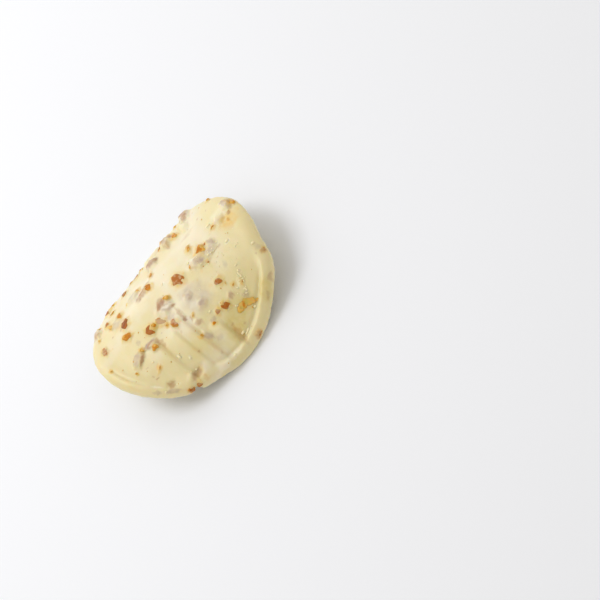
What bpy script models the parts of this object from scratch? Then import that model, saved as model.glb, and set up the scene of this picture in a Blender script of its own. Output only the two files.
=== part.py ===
"""White chocolate tuile, in metres, +Z up.

A thin round of white chocolate, full of chopped caramelised nuts, is spread flat and then set
over a bar, so that it keeps the arch of a roof tile. Here the round is modelled flat, with +X
along its ridge and +Y across it, and then bent. It lies crown up on the two lowest stretches of
its rim, whose thin edges are worn to small flat feet.
"""

import math
from random import Random

import bmesh
import bpy
from mathutils import Matrix, Vector, noise

MM = 0.001

# The round while it is flat
DISC_RADIUS = 33.15 * MM
RIM_OVAL = 0.35 * MM
PLATEAU = 2.3 * MM
EDGE = 0.9 * MM
SHOULDER = 2.0 * MM
EDGE_FRAY = 0.14 * MM
FRAY_TIGHTNESS = 9.0

# Where the rim stands out, or has worn or chipped back: a bearing from the ridge and a spread in
# degrees, and a height in millimetres
RIM_LOBES = (
    (6, 12, 0.6),
    (-21, 7, -0.7),
    (-40, 9, 0.7),
    (-80, 18, 0.35),
    (-110, 11, -0.8),
    (-123, 2.4, -1.5),
)

# The chocolate swells to a lip just inside the edge, with a groove behind it. At the ridge's +X
# end the spread ran out thin, with hardly a lip.
LIP_HEIGHT = 0.7 * MM
LIP_INSET = 3.0 * MM
LIP_OUTER_WIDTH = 2.0 * MM
LIP_INNER_WIDTH = 1.1 * MM
LIP_FAR_SHARE = 0.35
LIP_FULL_BELOW = 0.6
GROOVE_DEPTH = 0.3 * MM
GROOVE_INSET = 4.6 * MM
GROOVE_WIDTH = 0.9 * MM
RIDGE_END_COSINE = 0.75
RIDGE_END_FADE = 0.15
RIDGE_END_SHOULDER = 2.2 * MM
RIDGE_END_LOSS = 0.8

# The slow rise and fall of the spread, and the marks of the spatula across the near side
WAVE_HEIGHT = 0.32 * MM
WAVE_LENGTH = 11.0 * MM

# Each mark is its place along the ridge, its near and far ends and its height, in millimetres.
# The chocolate rises slowly to it, and drops on its +X side.
SPATULA_MARKS = (
    (-15.4, -27.0, -6.0, 0.65),
    (-9.2, -28.0, -8.0, 0.55),
    (-4.9, -31.5, -6.0, 0.65),
    (1.8, -32.0, -17.0, 0.90),
)
MARK_RISE = 4.6 * MM
MARK_DROP = 1.9 * MM
MARK_FADE = 4.0 * MM

# The arch: the bar that the round sets on, and the line whose length the bending keeps
BAR_RADIUS = 34.8 * MM
BEND_RADIUS = BAR_RADIUS + PLATEAU / 2
FOOT_WEAR = 0.5 * MM

# The mesh: squares across the round, and how many of its rings lie in the rim
SQUARES = 40
RIM_RING_SHARE = 0.35
RIM_ZONE = 8.0 * MM

# Nuts under the chocolate. Each is its place along the ridge and across it, its length, its
# width, its turn in degrees and the height of its swelling, all in millimetres.
COVERED_NUTS = (
    (-6.8, 9.4, 4.6, 2.0, 10, 0.5),
    (-4.9, -2.2, 6.0, 5.0, -20, 0.7),
    (12.6, -2.2, 6.4, 4.0, -30, 0.7),
    (17.4, -2.8, 4.6, 2.8, 0, 0.5),
    (19.2, -0.6, 3.4, 2.6, -50, 0.5),
    (26.3, 2.2, 3.6, 3.2, 0, 0.5),
    (31.0, 4.5, 5.0, 3.4, 80, 0.8),
    (2.0, 17.0, 6.0, 4.4, 90, 1.0),
    (9.6, 20.0, 8.0, 4.2, 90, 1.3),
    (19.8, 22.0, 7.0, 4.4, 90, 1.3),
    (-22.0, -7.0, 6.0, 3.2, 30, 0.7),
    (-15.9, -7.3, 4.2, 1.6, -8, 0.6),
    (-25.7, 16.2, 5.0, 3.0, 80, 0.8),
    (-19.0, 9.8, 4.6, 3.4, 60, 0.5),
    (-9.8, 12.6, 5.0, 3.4, 0, 0.7),
    (3.6, -12.0, 3.2, 3.0, 0, 0.35),
    (2.3, -6.7, 3.0, 2.4, 0, 0.35),
    (-1.6, -14.9, 3.0, 2.4, -80, 0.2),
    (-2.9, -19.6, 4.2, 2.6, 90, 0.35),
    (14.0, -20.8, 2.8, 2.0, 0, 0.15),
    (-3.3, -8.2, 4.6, 1.6, 90, 0.3),
    (16.0, -17.2, 4.4, 2.0, 50, 0.2),
    (11.0, -17.5, 2.6, 2.2, 0, 0.15),
)

# Nuts and caramel that show bare: the same, with the height that stands out of the chocolate
BARE_NUTS = (
    (-17.1, 6.5, 4.3, 3.1, 62, 0.45),
    (-13.2, -4.0, 3.4, 2.2, 90, 0.6),
    (-8.9, -4.8, 3.8, 1.8, -66, 0.35),
    (-6.4, -9.0, 2.8, 1.9, 90, 0.3),
    (4.0, 0.3, 4.2, 3.9, -86, 0.35),
    (11.8, -11.7, 2.9, 2.5, -20, 0.35),
    (7.6, -18.1, 2.7, 2.6, -15, 0.5),
    (4.6, -17.5, 2.1, 1.7, 20, 0.3),
    (-18.7, -25.5, 1.9, 1.5, -40, 0.2),
    (-15.7, -26.4, 1.7, 1.5, 0, 0.2),
    (-21.6, 15.1, 2.8, 1.7, 80, 0.6),
    (-27.5, 5.7, 3.4, 2.0, 80, 0.3),
    (7.2, -30.9, 2.4, 1.2, 8, 0.15),
    (-19.3, 1.8, 3.4, 2.8, -25, 0.5),
    (-16.6, 12.2, 3.4, 1.9, 95, 0.5),
    (-21.0, 12.0, 3.0, 1.5, 110, 0.4),
    (-11.8, -4.0, 2.5, 2.2, 10, 0.75),
    (-4.0, 8.9, 3.7, 2.6, -62, 0.5),
    (15.0, 0.6, 3.5, 3.2, -90, 0.5),
    (13.0, 4.8, 2.6, 1.8, 70, 0.4),
    (-2.4, -1.2, 2.0, 1.4, -50, 0.7),
    (-19.3, -5.9, 2.0, 1.2, -50, 0.6),
    (-15.8, -9.3, 2.0, 1.9, 0, 0.6),
    (13.3, 17.4, 3.6, 1.8, -80, 0.7),
    (-0.8, 12.4, 2.0, 1.4, 60, 0.5),
    (-6.9, 13.1, 2.2, 1.4, -60, 0.5),
    (23.4, 2.3, 1.9, 1.4, 60, 0.4),
    (28.5, 14.2, 1.8, 1.3, 60, 0.5),
    (32.6, 3.2, 3.0, 1.4, -75, 0.4),
    (12.2, -22.8, 6.2, 2.5, -25, 0.2),
)

# More of both on the far side, scattered by the same hand
FAR_NUTS = 14
FAR_SIDE = (22.0 * MM, 30.0 * MM)
FAR_BEARINGS = (math.radians(40), math.radians(140))
FAR_LENGTHS = (1.8, 4.2)
FAR_COVERED_SHARE = 0.4
FAR_PROUD = 0.5
FAR_SWELLING = 0.8

NUT_JITTER = 0.16
NUT_LEAST_DEPTH = 1.1 * MM
NUT_TILT = math.radians(14)

# How far a swelling runs out round its nut, as shares of the nut's half size
SWELLING_REACH = 1.35
SWELLING_FADE = 0.75

CHOCOLATE_COLOUR = (0.83, 0.70, 0.43, 1.0)
CHOCOLATE_ROUGHNESS = 0.35
CREASE_ANGLE = math.radians(35)


def smooth(share):
    """A soft step from 0 to 1."""
    share = max(0.0, min(1.0, share))
    return share * share * (3.0 - 2.0 * share)


def hill(offset, width):
    """A round-topped ridge, 1 at its crest."""
    return math.exp(-((offset / width) ** 2))


def turned(x, y, angle):
    """A point turned back by an angle about the origin."""
    return (
        x * math.cos(angle) + y * math.sin(angle),
        y * math.cos(angle) - x * math.sin(angle),
    )


def rim_radius(bearing):
    """How far the round's edge lies from its middle, at a bearing from the ridge."""
    reach = DISC_RADIUS + RIM_OVAL * math.cos(2 * bearing)
    for middle, spread, height in RIM_LOBES:
        reach += height * MM * hill(math.degrees(bearing) - middle, spread)
    around = Vector((math.cos(bearing), math.sin(bearing), 0.5))
    return reach + EDGE_FRAY * noise.noise(around * FRAY_TIGHTNESS)


def far_nuts():
    """The far side's nuts, in two lists: covered, and bare."""
    draw = Random(7)
    covered, bare = [], []
    for turn in range(FAR_NUTS):
        share = (turn + draw.uniform(0.2, 0.8)) / FAR_NUTS
        bearing = FAR_BEARINGS[0] + share * (FAR_BEARINGS[1] - FAR_BEARINGS[0])
        reach = draw.uniform(*FAR_SIDE)
        length = draw.uniform(*FAR_LENGTHS)
        width = length * draw.uniform(0.55, 0.85)
        place = (reach * math.cos(bearing) / MM, reach * math.sin(bearing) / MM)
        angle = draw.uniform(0.0, 180.0)
        if draw.random() < FAR_COVERED_SHARE:
            covered.append((*place, length + 2.0, width + 1.5, angle, FAR_SWELLING))
        else:
            bare.append((*place, length, width, angle, FAR_PROUD))
    return covered, bare


FAR_COVERED, FAR_BARE = far_nuts()
ALL_COVERED = (*COVERED_NUTS, *FAR_COVERED)
ALL_BARE = (*BARE_NUTS, *FAR_BARE)


def swelling(x, y):
    """How far the covered nuts lift the chocolate at a place."""
    height = 0.0
    for along, across, length, width, angle, proud in ALL_COVERED:
        dx, dy = turned(x - along * MM, y - across * MM, math.radians(angle))
        offset = math.hypot(2 * dx / (length * MM), 2 * dy / (width * MM))
        share = smooth((SWELLING_REACH - offset) / SWELLING_FADE)
        height = max(height, proud * MM * share)
    return height


def spatula_marks(x, y):
    """The slow rise to each mark, and the drop behind it."""
    height = 0.0
    for place, near_end, far_end, crest in SPATULA_MARKS:
        offset = x - place * MM
        reach = smooth((y - near_end * MM) / MARK_FADE) * smooth(
            (far_end * MM - y) / MARK_FADE
        )
        profile = smooth(1.0 + offset / MARK_RISE) * smooth(1.0 - offset / MARK_DROP)
        height += crest * MM * reach * profile
    return height


def thickness(x, y):
    """The flat round's height over its smooth underside."""
    bearing = math.atan2(y, x)
    inset = rim_radius(bearing) - math.hypot(x, y)
    ridge_end = smooth((math.cos(bearing) - RIDGE_END_COSINE) / RIDGE_END_FADE)
    shoulder = SHOULDER + RIDGE_END_SHOULDER * ridge_end
    curl = 1.0 - max(0.0, min(1.0, inset / shoulder))
    height = EDGE + (PLATEAU - EDGE) * math.sqrt(1.0 - curl * curl)
    near_share = smooth(LIP_FULL_BELOW - math.sin(bearing))
    lip_share = LIP_FAR_SHARE + (1.0 - LIP_FAR_SHARE) * near_share
    lip_share *= 1.0 - RIDGE_END_LOSS * ridge_end
    beyond = inset - LIP_INSET
    lip_width = LIP_OUTER_WIDTH if beyond < 0 else LIP_INNER_WIDTH
    height += lip_share * LIP_HEIGHT * hill(beyond, lip_width)
    height -= lip_share * GROOVE_DEPTH * hill(inset - GROOVE_INSET, GROOVE_WIDTH)
    inner = smooth(inset / RIM_ZONE)
    wave = noise.noise(Vector((x, y, 0.0)) / WAVE_LENGTH)
    height += inner * WAVE_HEIGHT * wave + spatula_marks(x, y)
    return height + smooth(inset / SHOULDER) * swelling(x, y)


def ring_reach(share, edge):
    """Rings are spread evenly inside, and lie closer together in the rim."""
    inside = 1.0 - RIM_RING_SHARE
    rim_start = edge - RIM_ZONE
    if share <= inside:
        return rim_start * share / inside
    return rim_start + RIM_ZONE * (share - inside) / RIM_RING_SHARE


def on_round(x, y):
    """Moves a point of the square from -1 to 1 to its place on the round, ring by ring."""
    share = max(abs(x), abs(y))
    if share < 1e-9:
        return 0.0, 0.0
    if abs(x) >= abs(y):
        bearing = math.pi / 4 * y / x + (math.pi if x < 0 else 0.0)
    else:
        bearing = math.pi / 2 - math.pi / 4 * x / y + (math.pi if y < 0 else 0.0)
    bearing = math.remainder(bearing, 2 * math.pi)
    reach = ring_reach(share, rim_radius(bearing))
    return reach * math.cos(bearing), reach * math.sin(bearing)


def new_object(name, bm, collection):
    """Puts a finished mesh in the scene as an object."""
    mesh = bpy.data.meshes.new(name)
    bm.to_mesh(mesh)
    bm.free()
    obj = bpy.data.objects.new(name, mesh)
    collection.objects.link(obj)
    return obj


def chocolate_round(collection):
    """The flat round: a smooth underside, and a top with the lip, waves, marks and swellings."""
    bm = bmesh.new()
    bmesh.ops.create_grid(bm, x_segments=SQUARES, y_segments=SQUARES, size=1.0)
    for vert in bm.verts:
        vert.co.x, vert.co.y = on_round(vert.co.x, vert.co.y)
    lifted = bmesh.ops.extrude_face_region(bm, geom=bm.faces[:], use_keep_orig=True)
    for vert in lifted["geom"]:
        if isinstance(vert, bmesh.types.BMVert):
            vert.co.z = thickness(vert.co.x, vert.co.y)
    bmesh.ops.recalc_face_normals(bm, faces=bm.faces[:])
    return new_object("tuile", bm, collection)


def nut_chip(number, piece, draw, collection):
    """One faceted chip, sunk in the chocolate so that only its top stands out."""
    along, across, length, width, angle, proud = piece
    depth = max(NUT_LEAST_DEPTH, 0.5 * width * MM)
    bm = bmesh.new()
    bmesh.ops.create_icosphere(bm, subdivisions=1, radius=0.5)
    for vert in bm.verts:
        vert.co *= 1.0 + draw.uniform(-NUT_JITTER, NUT_JITTER)
    size = Matrix.Diagonal((length * MM, width * MM, depth, 1.0))
    lean = Matrix.Rotation(draw.uniform(-NUT_TILT, NUT_TILT), 4, "X")
    turn = Matrix.Rotation(math.radians(angle), 4, "Z")
    x, y = along * MM, across * MM
    middle = Vector((x, y, thickness(x, y) + proud * MM - depth / 2))
    bmesh.ops.transform(
        bm, matrix=Matrix.Translation(middle) @ turn @ lean @ size, verts=bm.verts[:]
    )
    return new_object(f"nut_{number:02d}", bm, collection)


def join_nuts(body, nuts):
    """Fuses every nut with the round, and then removes the nuts' own objects."""
    join = body.modifiers.new("nuts", "BOOLEAN")
    join.operation = "UNION"
    join.operand_type = "COLLECTION"
    join.collection = nuts
    join.solver = "EXACT"
    bpy.context.view_layer.update()
    graph = bpy.context.evaluated_depsgraph_get()
    body.data = bpy.data.meshes.new_from_object(body.evaluated_get(graph))
    body.modifiers.clear()
    for nut in list(nuts.objects):
        bpy.data.objects.remove(nut)
    bpy.data.collections.remove(nuts)


def bend_and_stand(body):
    """Bends the round over the bar, wears its two lowest edges flat, and stands it on them."""
    bm = bmesh.new()
    bm.from_mesh(body.data)
    for vert in bm.verts:
        angle = vert.co.y / BEND_RADIUS
        reach = BAR_RADIUS + vert.co.z
        vert.co.y = reach * math.sin(angle)
        vert.co.z = reach * math.cos(angle)
    floor = min(vert.co.z for vert in bm.verts) + FOOT_WEAR
    everything = bm.verts[:] + bm.edges[:] + bm.faces[:]
    cut = bmesh.ops.bisect_plane(
        bm,
        geom=everything,
        plane_co=(0.0, 0.0, floor),
        plane_no=(0.0, 0.0, -1.0),
        clear_outer=True,
    )
    rims = [edge for edge in cut["geom_cut"] if isinstance(edge, bmesh.types.BMEdge)]
    bmesh.ops.edgeloop_fill(bm, edges=rims)
    middle = [
        (min(vert.co[i] for vert in bm.verts) + max(vert.co[i] for vert in bm.verts))
        / 2
        for i in (0, 1)
    ]
    bmesh.ops.translate(bm, vec=(-middle[0], -middle[1], -floor), verts=bm.verts[:])
    bmesh.ops.triangulate(bm, faces=bm.faces[:])
    bmesh.ops.recalc_face_normals(bm, faces=bm.faces[:])
    bm.to_mesh(body.data)
    bm.free()


def white_chocolate():
    """Cream yellow, with a soft sheen."""
    material = bpy.data.materials.new("white_chocolate")
    material.use_nodes = True
    shader = material.node_tree.nodes["Principled BSDF"]
    shader.inputs["Base Color"].default_value = CHOCOLATE_COLOUR
    shader.inputs["Roughness"].default_value = CHOCOLATE_ROUGHNESS
    shader.inputs["Metallic"].default_value = 0.0
    return material


def main():
    for obj in list(bpy.data.objects):
        bpy.data.objects.remove(obj)
    parts = bpy.data.collections.new("white_chocolate_tuile")
    nuts = bpy.data.collections.new("nuts_to_join")
    for collection in (parts, nuts):
        bpy.context.scene.collection.children.link(collection)
    body = chocolate_round(parts)
    draw = Random(3)
    for number, piece in enumerate(ALL_BARE):
        nut_chip(number, piece, draw, nuts)
    join_nuts(body, nuts)
    bend_and_stand(body)
    body.data.materials.clear()
    body.data.materials.append(white_chocolate())
    body.data.shade_smooth()
    body.data.set_sharp_from_angle(angle=CREASE_ANGLE)


main()
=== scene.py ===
"""A white chocolate tuile: a thin round of white chocolate full of chopped caramelised nuts,
set over a bar until it keeps the arch of a roof tile. Metres, +Z up, +X along the ridge."""

import math
from random import Random

import bpy
import numpy as np
from mathutils import Matrix, Vector, noise


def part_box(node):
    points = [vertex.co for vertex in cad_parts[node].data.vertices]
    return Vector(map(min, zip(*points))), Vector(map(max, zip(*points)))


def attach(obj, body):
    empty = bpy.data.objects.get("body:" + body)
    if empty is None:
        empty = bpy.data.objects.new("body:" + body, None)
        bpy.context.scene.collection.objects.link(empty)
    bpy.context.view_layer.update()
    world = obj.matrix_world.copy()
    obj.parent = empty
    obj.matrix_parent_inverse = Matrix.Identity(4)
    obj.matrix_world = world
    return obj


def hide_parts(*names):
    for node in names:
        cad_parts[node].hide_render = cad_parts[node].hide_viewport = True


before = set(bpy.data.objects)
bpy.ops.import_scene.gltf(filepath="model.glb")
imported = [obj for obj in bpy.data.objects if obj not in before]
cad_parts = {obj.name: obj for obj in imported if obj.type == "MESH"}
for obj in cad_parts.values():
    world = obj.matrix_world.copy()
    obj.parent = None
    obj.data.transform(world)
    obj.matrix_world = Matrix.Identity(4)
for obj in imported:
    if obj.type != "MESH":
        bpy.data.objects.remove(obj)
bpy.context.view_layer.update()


# The camera looks down at the near flank of the arch, turned so that the ridge climbs from the
# lower left. The crown of the arch appears at a known place in the picture.
VIEW_TILT = math.radians(-41.75)
VIEW_SWING = math.radians(1.9)
VIEW_ROLL = math.radians(51.85)
VIEW_DISTANCE = 0.6
PICTURE_WIDTH = 600
FOCAL_PIXELS = 1971.0
CROWN_PIXEL = (168.7, 288.85)
SENSOR_WIDTH = 36.0
NEAREST_SEEN = 0.01

toward = Vector(
    (
        math.sin(VIEW_SWING),
        math.cos(VIEW_SWING) * math.sin(VIEW_TILT),
        math.cos(VIEW_SWING) * math.cos(VIEW_TILT),
    )
)
along_ridge = (Vector((1.0, 0.0, 0.0)) - toward * toward.x).normalized()
over_ridge = toward.cross(along_ridge)
to_right = math.cos(VIEW_ROLL) * along_ridge - math.sin(VIEW_ROLL) * over_ridge
to_top = math.sin(VIEW_ROLL) * along_ridge + math.cos(VIEW_ROLL) * over_ridge
crown = Vector((0.0, 0.0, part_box("tuile")[1].z))
metres_per_pixel = VIEW_DISTANCE / FOCAL_PIXELS
right_of_middle = (CROWN_PIXEL[0] - PICTURE_WIDTH / 2) * metres_per_pixel
above_middle = (PICTURE_WIDTH / 2 - CROWN_PIXEL[1]) * metres_per_pixel
eye = crown + toward * VIEW_DISTANCE - to_right * right_of_middle - to_top * above_middle

bpy.ops.object.camera_add()
camera = bpy.context.object
camera.name = "camera"
camera.data.sensor_width = SENSOR_WIDTH
camera.data.lens = FOCAL_PIXELS / PICTURE_WIDTH * SENSOR_WIDTH
camera.data.clip_start = NEAREST_SEEN
turned_view = Matrix((to_right, to_top, toward)).transposed().to_4x4()
camera.matrix_world = Matrix.Translation(eye) @ turned_view
bpy.context.scene.camera = camera


# The round of white chocolate, satin and slightly see-through. It is a square grid drawn out to
# a circle, given its lip, waves and spatula marks while it lies flat, and then bent over a bar.
# Flat sizes are in millimetres, x along the ridge and y across it.
MM = 0.001
DISC_RADIUS = 33.15
RIM_OVAL = 0.35
PLATEAU = 2.3
EDGE = 0.9
SHOULDER = 2.0
BAR_RADIUS = 34.8
BEND_RADIUS = BAR_RADIUS + PLATEAU / 2
FOOT_WEAR = 0.5
CUT_PRECISION = 0.000001
CREASE_ANGLE = 50

# The grid has this many squares each way, and its outer share of them makes the rim zone.
ROUND_SQUARES = 200
RIM_RING_SHARE = 0.35
RIM_ZONE = 8.0

# A lobe of the rim is its bearing and its spread in degrees and its height. A fray of the edge
# is its height and its tightness.
RIM_LOBES = (
    (6, 12, 0.6),
    (-21, 7, -0.7),
    (-40, 9, 0.7),
    (-80, 18, 0.35),
    (-110, 11, -0.8),
    (-123, 2.4, -1.5),
)
EDGE_FRAYS = ((0.14, 9.0), (0.12, 31.0))
FRAY_LAYER = 0.5

# The lip is lower on the far side, crisp along one arc of the near side, and nearly gone at the
# ends of the ridge, where the shoulder is wider.
LIP_HEIGHT = 0.7
LIP_INSET = 2.6
LIP_OUTER_WIDTH = 1.7
LIP_INNER_WIDTH = 2.3
LIP_CRISP_WIDTH = 0.75
LIP_CRISP_SHIFT = 0.8
LIP_CRISP_ARC = (-112.0, -28.0)
LIP_FADE = 14.0
LIP_FAR_SHARE = 0.35
LIP_FULL_BELOW = 0.6
RIDGE_END_COSINE = 0.75
RIDGE_END_FADE = 0.15
RIDGE_END_SHOULDER = 2.2
RIDGE_END_LOSS = 0.8

# Broad waves and small lumps run all over the top.
WAVE_HEIGHT = 0.32
WAVE_LENGTH = 11.0
LUMP_HEIGHT = 0.05
LUMP_SIZE = 2.3
LUMP_LAYER = 4.0

# A groove behind the lip is the middle and half the length of its arc in degrees, how far it
# lies inside the edge, its width and its depth. A dent is its place along and across, its
# length, its width, its turn in degrees and its depth.
GROOVES = (
    (-76.0, 38.0, 4.6, 0.8, 0.4),
    (-165.0, 17.0, 3.5, 0.5, 0.35),
    (-140.0, 16.0, 3.2, 0.9, 0.2),
)
DENTS = (
    (-21.0, -20.2, 3.6, 2.4, -30, 0.45),
    (-13.8, -24.0, 6.0, 2.6, 15, 0.45),
    (3.6, -26.0, 2.8, 7.6, -8, 0.4),
    (23.0, -23.0, 3.4, 1.8, 45, 0.2),
)
DENT_REACH = 1.6
DENT_FADE = 1.5

# A mark of the spatula is its place along the ridge, its near and far ends and its height.
SPATULA_MARKS = (
    (-15.4, -27.0, -6.0, 0.80),
    (-9.2, -28.0, -8.0, 0.70),
    (-4.9, -31.5, -6.0, 0.85),
    (1.8, -32.0, -17.0, 1.05),
)
MARK_RISE = 4.6
MARK_DROP = 1.6
MARK_FADE = 4.0

# Nuts and chips have blunt corners. A nut under the chocolate is its place along and across,
# its length, its width, its turn in degrees and the height that it lifts the chocolate.
CHIP_CORNERS = 5
CHIP_FULLNESS = 0.92
SWELLING_REACH = 1.35
SWELLING_FADE = 0.75
COVERED_NUTS = [
    (-6.8, 9.4, 4.6, 2.0, 10, 0.5),
    (-4.9, -2.2, 6.0, 5.0, -20, 0.7),
    (12.6, -2.2, 6.4, 4.0, -30, 0.7),
    (17.4, -2.8, 4.6, 2.8, 0, 0.5),
    (19.2, -0.6, 3.4, 2.6, -50, 0.5),
    (26.3, 2.2, 3.6, 3.2, 0, 0.5),
    (31.0, 4.5, 5.0, 3.4, 80, 0.8),
    (2.0, 17.0, 6.0, 4.4, 90, 1.0),
    (9.6, 20.0, 8.0, 4.2, 90, 1.3),
    (19.8, 22.0, 7.0, 4.4, 90, 1.3),
    (-22.0, -7.0, 6.0, 3.2, 30, 0.7),
    (-15.9, -7.3, 4.2, 1.6, -8, 0.6),
    (-25.7, 16.2, 5.0, 3.0, 80, 0.8),
    (-19.0, 9.8, 4.6, 3.4, 60, 0.5),
    (-9.8, 12.6, 5.0, 3.4, 0, 0.7),
    (3.6, -12.0, 3.2, 3.0, 0, 0.35),
    (2.3, -6.7, 3.0, 2.4, 0, 0.35),
    (-1.6, -14.9, 3.0, 2.4, -80, 0.2),
    (-2.9, -19.6, 4.2, 2.6, 90, 0.35),
    (14.0, -20.8, 2.8, 2.0, 0, 0.15),
    (-3.3, -8.2, 4.6, 1.6, 90, 0.3),
    (16.0, -17.2, 4.4, 2.0, 50, 0.2),
    (11.0, -17.5, 2.6, 2.2, 0, 0.15),
]

# A chip that shows bare is the same, with the height that it stands out, its tone from pale to
# dark and the way it broke. The chocolate climbs a little way up it, as a collar.
MENISCUS = 0.65
COLLAR_REACH = 1.6
COLLAR_FADE = 0.7
ROASTED_CHIPS = [
    (-17.1, 6.5, 4.3, 3.1, 62, 0.45, 0.75, "pebble"),
    (-13.1, -3.7, 3.7, 2.8, 90, 0.65, 0.5, "pebble"),
    (-8.9, -4.8, 3.8, 2.2, -66, 0.45, -0.15, "block"),
    (-6.4, -9.1, 3.2, 2.2, 90, 0.35, 0.2, "pebble"),
    (4.1, -0.2, 4.8, 4.0, -66, 0.5, 0.35, "block"),
    (11.8, -11.7, 2.9, 2.5, -20, 0.35, 0.25, "pebble"),
    (7.6, -18.1, 2.7, 2.6, -15, 0.5, 0.65, "block"),
    (4.6, -17.5, 2.1, 1.7, 20, 0.3, 0.0, "pebble"),
    (17.9, 0.6, 1.4, 1.0, -20, 0.2, 0.6, "shard"),
    (-18.7, -25.5, 1.9, 1.5, -40, 0.2, 0.4, "block"),
    (-15.7, -26.4, 1.7, 1.5, 0, 0.2, 0.35, "pebble"),
    (-21.6, 15.1, 2.8, 1.7, 80, 0.6, 0.3, "shard"),
    (-27.5, 5.7, 3.4, 2.0, 80, 0.3, 0.15, "block"),
    (7.2, -30.9, 2.4, 1.2, 8, 0.15, 0.2, "shard"),
    (16.1, -17.5, 1.3, 0.8, 50, 0.2, 0.5, "shard"),
    (14.2, -4.9, 0.9, 0.7, 0, 0.15, 0.4, "pebble"),
    (27.6, -16.6, 1.7, 1.2, 60, 0.15, 0.0, "shard"),
    (30.2, 1.0, 1.2, 0.9, 0, 0.1, 0.25, "pebble"),
]
CARAMEL_CHIPS = [
    (-19.3, 1.8, 3.4, 2.8, -25, 0.5, 0.45, "block"),
    (-16.6, 12.2, 3.4, 1.9, 95, 0.5, 0.35, "pebble"),
    (-21.0, 12.0, 3.0, 1.5, 110, 0.4, 0.05, "pebble"),
    (-11.3, -4.0, 2.3, 2.0, 10, 0.75, 0.4, "pebble"),
    (-3.9, 9.2, 3.7, 2.6, -62, 0.5, 0.6, "pebble"),
    (15.0, 0.6, 3.5, 3.2, -90, 0.5, 0.4, "shield"),
    (13.0, 4.8, 2.6, 1.8, 70, 0.4, 0.3, "shard"),
    (13.6, 6.1, 1.4, 0.9, 0, 0.4, 0.2, "shard"),
    (16.8, 1.0, 1.3, 1.0, 0, 0.4, 0.2, "shard"),
    (-2.4, -1.2, 2.0, 1.4, -50, 0.7, 0.12, "pebble"),
    (-19.3, -5.9, 2.0, 1.2, -50, 0.6, 0.2, "shard"),
    (-15.8, -9.3, 2.0, 1.9, 0, 0.6, 0.35, "pebble"),
    (13.3, 17.4, 3.6, 1.8, -80, 0.7, 0.4, "block"),
    (-0.8, 12.4, 2.0, 1.4, 60, 0.5, 0.3, "shard"),
    (-6.9, 13.1, 2.2, 1.4, -60, 0.5, 0.2, "shard"),
    (23.4, 2.3, 1.9, 1.4, 60, 0.4, 0.4, "shield"),
    (28.5, 14.2, 1.8, 1.3, 60, 0.5, 0.35, "pebble"),
    (32.6, 3.2, 3.0, 1.4, -75, 0.4, 0.35, "block"),
    (1.3, -19.0, 1.4, 1.3, 0, 0.4, 0.6, "pebble"),
    (-4.1, -18.4, 1.0, 1.2, 0, 0.3, 0.45, "pebble"),
    (-8.4, -7.3, 1.1, 1.5, 0, 0.3, 0.2, "shard"),
    (-1.2, -12.0, 1.2, 0.8, 20, 0.3, 0.1, "shard"),
    (7.2, -16.9, 1.1, 1.0, 0, 0.4, 0.55, "pebble"),
    (-25.6, -9.5, 0.9, 1.1, 0, 0.3, 0.3, "pebble"),
    (-20.0, -14.1, 2.6, 0.7, 35, 0.2, 0.4, "shard"),
    (9.6, -1.0, 1.4, 0.8, 60, 0.3, 0.3, "shard"),
    (12.7, -14.0, 0.6, 1.0, 0, 0.2, 0.3, "pebble"),
    (13.7, -15.9, 1.5, 0.8, 20, 0.2, 0.35, "shard"),
    (28.0, -1.1, 0.9, 1.3, 20, 0.2, 0.2, "shard"),
    (-12.4, 13.3, 0.8, 2.0, 0, 0.2, 0.2, "shard"),
    (-26.6, 12.0, 0.9, 1.5, 0, 0.3, 0.1, "pebble"),
    (-24.4, 17.8, 0.6, 2.0, 0, 0.2, 0.3, "shard"),
    (-30.4, -2.1, 0.9, 0.6, 20, 0.15, 0.3, "pebble"),
]

# The far side's nuts are scattered by one seeded hand, so they lie where the solid has them.
FAR_SEED = 7
FAR_NUTS = 14
FAR_STEPS = (0.2, 0.8)
FAR_SIDE = (22.0, 30.0)
FAR_BEARINGS = (math.radians(40), math.radians(140))
FAR_LENGTHS = (1.8, 4.2)
FAR_SLIMNESS = (0.55, 0.85)
FAR_COVERED_SHARE = 0.4
FAR_COVER_LENGTH = 2.0
FAR_COVER_WIDTH = 1.5
FAR_SWELLING = 0.8
FAR_PROUD = 0.5
FAR_TONES = (0.3, 0.55, 0.8)
HALF_TURN = 180.0
BREAKS = ("block", "shield", "wedge", "shard", "pebble")

draw = Random(FAR_SEED)
far_bare = []
for number in range(FAR_NUTS):
    share = (number + draw.uniform(*FAR_STEPS)) / FAR_NUTS
    bearing = FAR_BEARINGS[0] + share * (FAR_BEARINGS[1] - FAR_BEARINGS[0])
    reach = draw.uniform(*FAR_SIDE)
    length = draw.uniform(*FAR_LENGTHS)
    width = length * draw.uniform(*FAR_SLIMNESS)
    place = (reach * math.cos(bearing), reach * math.sin(bearing))
    turn = draw.uniform(0.0, HALF_TURN)
    if draw.random() < FAR_COVERED_SHARE:
        cover = (length + FAR_COVER_LENGTH, width + FAR_COVER_WIDTH)
        COVERED_NUTS.append((*place, *cover, turn, FAR_SWELLING))
    else:
        far_bare.append((*place, length, width, turn, FAR_PROUD))
for number, chip in enumerate(far_bare):
    tone = FAR_TONES[number % len(FAR_TONES)]
    kind = ROASTED_CHIPS if number % 2 else CARAMEL_CHIPS
    kind.append((*chip, tone, BREAKS[number % len(BREAKS)]))
BARE_CHIPS = ROASTED_CHIPS + CARAMEL_CHIPS

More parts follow.
